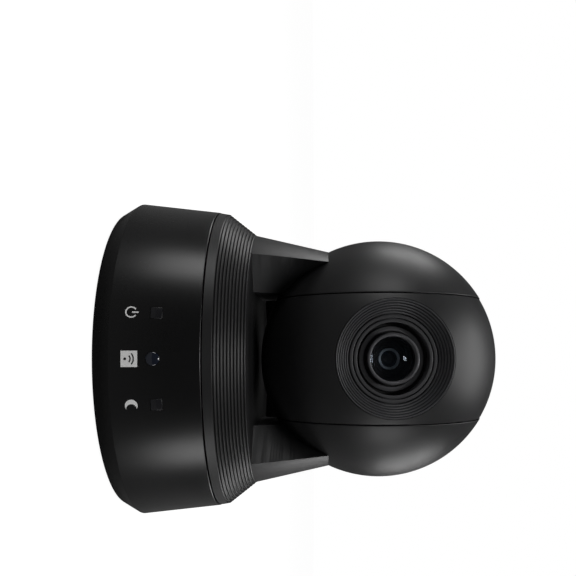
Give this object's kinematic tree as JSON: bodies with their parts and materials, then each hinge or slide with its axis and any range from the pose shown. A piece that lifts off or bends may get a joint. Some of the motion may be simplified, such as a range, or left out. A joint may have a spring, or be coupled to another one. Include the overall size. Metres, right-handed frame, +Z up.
{
  "type": "ptz camera",
  "caption": "Pan-tilt-zoom camera: round base with front windows and rear sockets, ribbed pan ring with two arms, and a tilting ball head with a recessed zoom lens.",
  "frame": {"origin": "centre of the base on the surface that the feet stand on", "axes": "+Z up along the pan axis, the lens looks along -Y at rest, +X to the right of somebody facing the lens"},
  "size_m": [0.144, 0.144, 0.1707],
  "materials": {
    "gloss_black_abs": "moulded ABS, polished, near black",
    "satin_black_abs": "moulded ABS, fine satin grain, near black",
    "anodised_black": "turned aluminium, black anodised",
    "black_painted_steel": "pressed steel, black powder coat",
    "black_rubber": "moulded rubber",
    "dark_steel": "black oxide steel",
    "bright_steel": "ground steel",
    "zinc_steel": "zinc plated sheet steel",
    "aluminium": "turned aluminium",
    "brass": "turned brass",
    "green_board": "glass-epoxy board with green solder resist",
    "black_epoxy": "moulded epoxy",
    "clear_epoxy": "clear epoxy lamp",
    "socket_black": "moulded glass-filled nylon",
    "socket_steel": "nickel plated shell",
    "dark_window": "smoked acrylic",
    "white_acetal": "moulded acetal",
    "coated_glass": "optical glass with a bluish coating"
  },
  "bodies": {
    "base": {"base_shell": "gloss_black_abs", "bottom_plate": "black_painted_steel", "rubber_feet": "black_rubber", "bottom_screws": "dark_steel", "tripod_nut": "brass", "main_board": "green_board", "board_chips": "black_epoxy", "board_and_motor_screws": "bright_steel", "rear_panel": "satin_black_abs", "power_jack": "socket_black", "usb_socket": "socket_steel", "serial_in_socket": "socket_black", "serial_out_socket": "socket_black", "ir_window": "dark_window", "power_window": "dark_window", "standby_window": "dark_window", "front_board": "green_board", "ir_receiver": "black_epoxy", "status_leds": "clear_epoxy", "pan_motor": "bright_steel", "pan_bearing_outer_race": "bright_steel"},
    "pan_drive": {"pan_pinion": "brass", "pan_motor_shaft": "bright_steel"},
    "yoke": {"pan_bearing_inner_race": "bright_steel", "pan_bearing_balls": "bright_steel", "pan_gear": "white_acetal", "pan_hub": "aluminium", "hub_clip": "bright_steel", "yoke_housing": "satin_black_abs", "inner_frame": "zinc_steel", "left_cheek_cover": "satin_black_abs", "right_cheek_cover": "satin_black_abs", "left_cheek_disc": "satin_black_abs", "right_cheek_disc": "satin_black_abs", "yoke_screws": "bright_steel", "left_tilt_bearing": "white_acetal", "right_tilt_bearing": "white_acetal", "tilt_motor_bracket": "zinc_steel", "tilt_motor": "bright_steel"},
    "tilt_drive": {"tilt_pinion": "brass", "tilt_motor_shaft": "bright_steel"},
    "head": {"tilt_gear": "white_acetal", "left_tilt_shaft": "aluminium", "right_tilt_shaft": "aluminium", "head_front_shell": "satin_black_abs", "head_rear_shell": "satin_black_abs", "head_screws": "dark_steel", "lens_bezel": "satin_black_abs", "lens_bracket": "zinc_steel", "lens_housing": "satin_black_abs", "lens_collar": "anodised_black", "lens_barrel": "anodised_black", "front_lens": "coated_glass", "guide_rods": "bright_steel", "sensor_board": "green_board", "image_sensor": "black_epoxy"},
    "zoom_group": {"zoom_carrier": "satin_black_abs", "zoom_lens": "coated_glass"},
    "focus_group": {"focus_carrier": "satin_black_abs", "focus_lens": "coated_glass"}
  },
  "joints": [
    {"name": "pan", "type": "hinge", "parent": "base", "child": "yoke", "pos_m": [0, 0, 0.034], "axis": [0, 0, 1], "range_deg": [-170, 170]},
    {"name": "pan_drive_spin", "type": "hinge", "parent": "base", "child": "pan_drive", "pos_m": [-0.0375, 0, 0.0414], "axis": [0, 0, 1], "range_deg": [-685, 685]},
    {"name": "tilt", "type": "hinge", "parent": "yoke", "child": "head", "pos_m": [0, 0, 0.11565], "axis": [-1, 0, 0], "range_deg": [-35, 85]},
    {"name": "tilt_drive_spin", "type": "hinge", "parent": "yoke", "child": "tilt_drive", "pos_m": [-0.036, 0, 0.13365], "axis": [-1, 0, 0], "range_deg": [-345, 145]},
    {"name": "zoom_slide", "type": "slide", "parent": "head", "child": "zoom_group", "axis": [0, -0.9962, 0.0872], "range_m": [-0.004, 0.012]},
    {"name": "focus_slide", "type": "slide", "parent": "head", "child": "focus_group", "axis": [0, -0.9962, 0.0872], "range_m": [-0.004, 0.003]}
  ],
  "couplings": [
    {"joint": "pan_drive_spin", "follows": "pan", "ratio": -4},
    {"joint": "tilt_drive_spin", "follows": "tilt", "ratio": -4}
  ]
}
